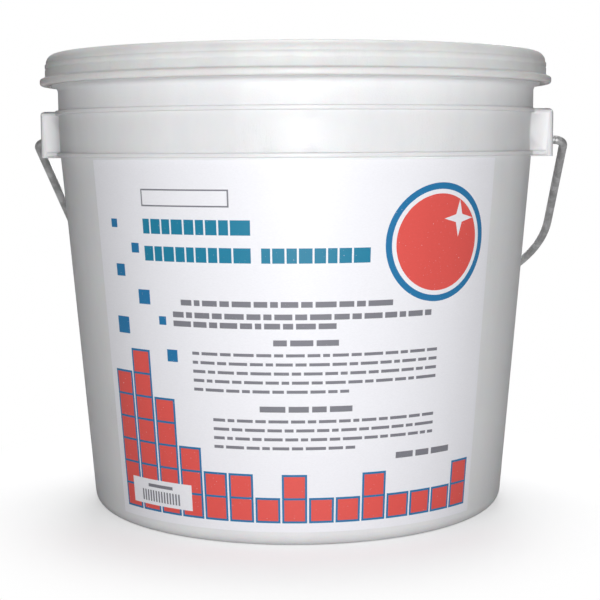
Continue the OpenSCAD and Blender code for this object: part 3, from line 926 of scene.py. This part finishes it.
# %% Discs and spark
PLATE_PLACE = (0.060, SHEET_HIGH - 0.0334)
PLATE_RADIUS = 0.024
PLATE_RIM = 0.0026
RED_INSET = 1.7
SPARK_REACH = 0.4 * (PLATE_RADIUS - 2 * PLATE_RIM)
SPARK_WAIST = 0.3
SPARK_OFFSET = 1.25 * SPARK_REACH
DISC_POINTS = 96
DISC_RINGS = 16


def named(tree, name, kind):
    return step(tree, "GeometryNodeInputNamedAttribute", {"data_type": kind}, Name=name)["Attribute"]


def inked(tree, geometry, colour):
    return step(tree, "GeometryNodeStoreNamedAttribute", {"data_type": "INT", "domain": "POINT"},
                Geometry=geometry, Name="ink", Value=colour)["Geometry"]


def raised(tree, geometry, x, y, thick):
    return step(tree, "GeometryNodeTransform", Geometry=geometry,
                Translation=vector(tree, x, y, thick))["Geometry"]


def plate_disc(tree, inputs, radius, layers, colour):
    thick = INK_BASE + layers * INK_LAYER
    disc = step(tree, "GeometryNodeMeshCylinder", Vertices=DISC_POINTS, Side_Segments=1,
                Fill_Segments=DISC_RINGS, Radius=radius, Depth=thick)["Mesh"]
    return inked(tree, raised(tree, disc, inputs["Plate X"], inputs["Plate Y"], INK_BASE + thick / 2), colour)


def plate_spark(tree, inputs, layers, colour):
    star = step(tree, "GeometryNodeCurveStar", Points=4, Inner_Radius=SPARK_WAIST * SPARK_REACH,
                Outer_Radius=SPARK_REACH)["Curve"]
    flat = step(tree, "GeometryNodeFillCurve", Curve=star)["Mesh"]
    fine = step(tree, "GeometryNodeSubdivideMesh", Mesh=flat, Level=3)["Mesh"]
    solid = step(tree, "GeometryNodeExtrudeMesh", {"mode": "FACES"}, Mesh=fine, Individual=False,
                 Offset_Scale=INK_LAYER)["Mesh"]
    x = maths(tree, "ADD", inputs["Plate X"], SPARK_OFFSET)
    y = maths(tree, "ADD", inputs["Plate Y"], SPARK_OFFSET)
    return inked(tree, raised(tree, solid, x, y, 2 * INK_BASE + (layers - 1) * INK_LAYER), colour)


def plate_parts(tree, inputs):
    radius, rim = inputs["Plate Radius"], inputs["Plate Rim"]
    white_radius = maths(tree, "SUBTRACT", radius, rim)
    red_radius = maths(tree, "SUBTRACT", radius, maths(tree, "MULTIPLY", rim, RED_INSET))
    return [plate_spark(tree, inputs, 5, WHITE), plate_disc(tree, inputs, red_radius, 4, RED),
            plate_disc(tree, inputs, white_radius, 3, WHITE), plate_disc(tree, inputs, radius, 2, BLUE)]


print("plate", round(PLATE_RADIUS * 2000), "mm across with a spark of", round(SPARK_REACH * 2000, 1), "mm")

# %% [markdown]
# ## Laying the ink
# One tree lays it all: it puts a unit bar on each point and stretches it to that point's size, adds the
# plate, wraps everything round the wall, and gives each ink its material. The bars are cut into short
# columns, because a long straight bar could not follow the bend. The first material goes on everything,
# and each later one only where its ink is.

# %% Ink on the label
BAR_COLUMNS = 21


def make_print_tree():
    inks = [("Ink %d" % i, "Material") for i in range(len(INKS))]
    tree, inputs, outputs = new_geometry_tree("label_print", [
        ("Plate X", "Float"), ("Plate Y", "Float"), ("Plate Radius", "Float"), ("Plate Rim", "Float")] + inks)
    unit = step(tree, "GeometryNodeMeshCube", Size=(1, 1, 1), Vertices_X=BAR_COLUMNS, Vertices_Y=2,
                Vertices_Z=2)["Mesh"]
    unit = step(tree, "GeometryNodeTransform", Geometry=unit, Translation=(0.5, 0.5, 0.5))["Geometry"]
    bars_placed = step(tree, "GeometryNodeInstanceOnPoints", Points=inputs["Geometry"], Instance=unit,
                       Scale=named(tree, "bar_size", "FLOAT_VECTOR"))["Instances"]
    join = add_node(tree, "GeometryNodeJoinGeometry")
    for part in plate_parts(tree, inputs) + [bars_placed]:
        wire(tree, part, join.inputs[0])
    geometry = wrapped(tree, step(tree, "GeometryNodeRealizeInstances", Geometry=join.outputs[0])["Geometry"])
    geometry = step(tree, "GeometryNodeSetMaterial", Geometry=geometry, Material=inputs["Ink 0"])["Geometry"]
    for i in range(1, len(INKS)):
        same = add_node(tree, "FunctionNodeCompare", data_type="INT", operation="EQUAL")
        wire(tree, named(tree, "ink", "INT"), same.inputs[2])
        same.inputs[3].default_value = i
        geometry = step(tree, "GeometryNodeSetMaterial", Geometry=geometry, Selection=same.outputs[0],
                        Material=inputs["Ink %d" % i])["Geometry"]
    wire(tree, geometry, outputs["Geometry"])
    return tree


label_print = grow("label_print", make_print_tree(), points, Plate_X=PLATE_PLACE[0],
                   Plate_Y=PLATE_PLACE[1], Plate_Radius=PLATE_RADIUS, Plate_Rim=PLATE_RIM,
                   Ink_0=INKS[0], Ink_1=INKS[1], Ink_2=INKS[2], Ink_3=INKS[3], Ink_4=INKS[4])
finish_edges(label_print)
print(label_print.name, len(label_print.data.polygons), "faces,", len(label_print.data.materials), "inks")

# %% [markdown]
# ## The powder
# With the lid off, the pail shows what it holds: white powder, heaped a little towards the middle. Its
# finish is matt, with clumps a shade darker than the rest and a relief as fine as sand.

# %% Powder material
CLUMP_DARK = (0.84, 0.845, 0.87, 1)
CLUMP_BRIGHT = (0.94, 0.945, 0.955, 1)


def powder_material():
    material, tree, shader = new_material("powder_white", Specular_IOR_Level=0.2, Subsurface_Weight=0.1,
                                          Subsurface_Scale=0.001)
    place = coordinates(tree)
    clump = noise(tree, place, 0.009, 4.0, 0.6)
    fine = noise(tree, place, 0.0011, 3.0, 0.7)
    wire(tree, mix_colour(tree, clump, CLUMP_DARK, CLUMP_BRIGHT), shader.inputs["Base Color"])
    wire(tree, maths(tree, "ADD", maths(tree, "MULTIPLY", fine, 0.2), 0.7), shader.inputs["Roughness"])
    height = maths(tree, "ADD", fine, maths(tree, "MULTIPLY", clump, 2.0))
    wire(tree, bump(tree, height, 0.9, 0.0006), shader.inputs["Normal"])
    return material


POWDER = powder_material()
print(POWDER.name, "has", len(POWDER.node_tree.nodes), "nodes")

# %% [markdown]
# ## Hollows in the powder
# A smooth heap would look like plaster. The tree cuts the solid's faces finer and sinks those that face
# up by a noise, so the top gets soft hollows and never rises above the solid.

# %% Powder with hollows
HOLLOW_DEPTH = 0.009
HOLLOW_WIDTH = 0.026
HOLLOW_LEVEL = 2
TOP_STEEPNESS = 0.6


def facing_up(tree):
    up = step(tree, "ShaderNodeSeparateXYZ", Vector=step(tree, "GeometryNodeInputNormal")["Normal"])["Z"]
    return step(tree, "FunctionNodeCompare", {"data_type": "FLOAT", "operation": "GREATER_THAN"}, A=up,
                B=TOP_STEEPNESS)["Result"]


def make_hollows_tree():
    tree, inputs, outputs = new_geometry_tree("powder_hollows", [
        ("Level", "Int"), ("Depth", "Float"), ("Width", "Float"), ("Powder", "Material")])
    fine = step(tree, "GeometryNodeSubdivideMesh", Mesh=inputs["Geometry"], Level=inputs["Level"])["Mesh"]
    lumps = step(tree, "ShaderNodeTexNoise", Vector=step(tree, "GeometryNodeInputPosition")["Position"],
                 Scale=maths(tree, "DIVIDE", 1.0, inputs["Width"]), Detail=3.0)["Fac"]
    sunk = maths(tree, "MULTIPLY", maths(tree, "SUBTRACT", lumps, 1.0), inputs["Depth"])
    hollowed = step(tree, "GeometryNodeSetPosition", Geometry=fine, Selection=facing_up(tree),
                    Offset=vector(tree, 0.0, 0.0, sunk))["Geometry"]
    end_tree(tree, hollowed, inputs["Powder"], outputs)
    return tree


plain = smooth_copy("detergent", "plain_powder")
powder = grow("powder", make_hollows_tree(), plain.data, Level=HOLLOW_LEVEL, Depth=HOLLOW_DEPTH,
              Width=HOLLOW_WIDTH, Powder=POWDER)
bpy.data.objects.remove(plain)
print(powder.name, len(powder.data.polygons), "faces")

# %% [markdown]
# ## Grains on the powder
# Thousands of small grains lie on top. Points are scattered over the faces that face up, and each gets a
# twenty-sided grain of its own size and turn. Scattering needs a seed, so that each run gives the same
# grains.

# %% Powder grains
POWDER_SEED = 7
GRAIN_COUNT_PER_M2 = 190000.0
GRAIN_RADIUS = 0.0006
GRAIN_SMALLEST = (0.5, 0.5, 0.4)
GRAIN_LARGEST = (1.4, 1.2, 0.9)
FULL_TURN = 6.28


def random_vector(tree, low, high):
    node = add_node(tree, "FunctionNodeRandomValue", data_type="FLOAT_VECTOR")
    wire(tree, vector(tree, *low), node.inputs[0])
    wire(tree, vector(tree, *high), node.inputs[1])
    return node


def make_grains_tree():
    tree, inputs, outputs = new_geometry_tree("powder_grains", [
        ("Density", "Float"), ("Radius", "Float"), ("Seed", "Int"), ("Powder", "Material")])
    points = step(tree, "GeometryNodeDistributePointsOnFaces", Mesh=inputs["Geometry"],
                  Selection=facing_up(tree), Density=inputs["Density"], Seed=inputs["Seed"])["Points"]
    grain = step(tree, "GeometryNodeMeshIcoSphere", Radius=inputs["Radius"], Subdivisions=1)["Mesh"]
    size = random_vector(tree, GRAIN_SMALLEST, GRAIN_LARGEST)
    wire(tree, inputs["Seed"], size.inputs["Seed"])
    turn = random_vector(tree, (0.0, 0.0, 0.0), (FULL_TURN, FULL_TURN, FULL_TURN))
    spread = step(tree, "GeometryNodeInstanceOnPoints", Points=points, Instance=grain, Scale=size.outputs[0],
                  Rotation=turn.outputs[0])["Instances"]
    end_tree(tree, spread, inputs["Powder"], outputs)
    return tree


grains = grow("powder_grains", make_grains_tree(), powder.data.copy(), Density=GRAIN_COUNT_PER_M2,
              Radius=GRAIN_RADIUS, Seed=POWDER_SEED, Powder=POWDER)
print(grains.name, len(grains.data.polygons), "faces")

# %% [markdown]
# ## What each piece rides on
# The solid model knows four bodies: the pail with its label and powder, the lid, the wire bail, and the
# grip that turns on the wire. Each finished piece gets its material and hangs from an empty named after its
# body, and the solid that it stands in for is hidden.

# %% Dress the bodies
for piece, material in ((pail, PAIL_PLASTIC), (lid, LID_PLASTIC), (bail, ZINC), (grip, GRIP_PLASTIC)):
    piece.data.materials.append(material)
    print(piece.name, "wears", material.name)

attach(pail, "pail")
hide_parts("pail_body")
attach(lid, "lid")
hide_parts("lid")
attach(bail, "bail")
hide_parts("bail")
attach(grip, "grip")
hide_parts("bail_grip")
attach(sheet, "pail")
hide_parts("label")
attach(label_print, "pail")
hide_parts("label")
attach(powder, "pail")
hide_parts("detergent")
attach(grains, "pail")
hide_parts("detergent")
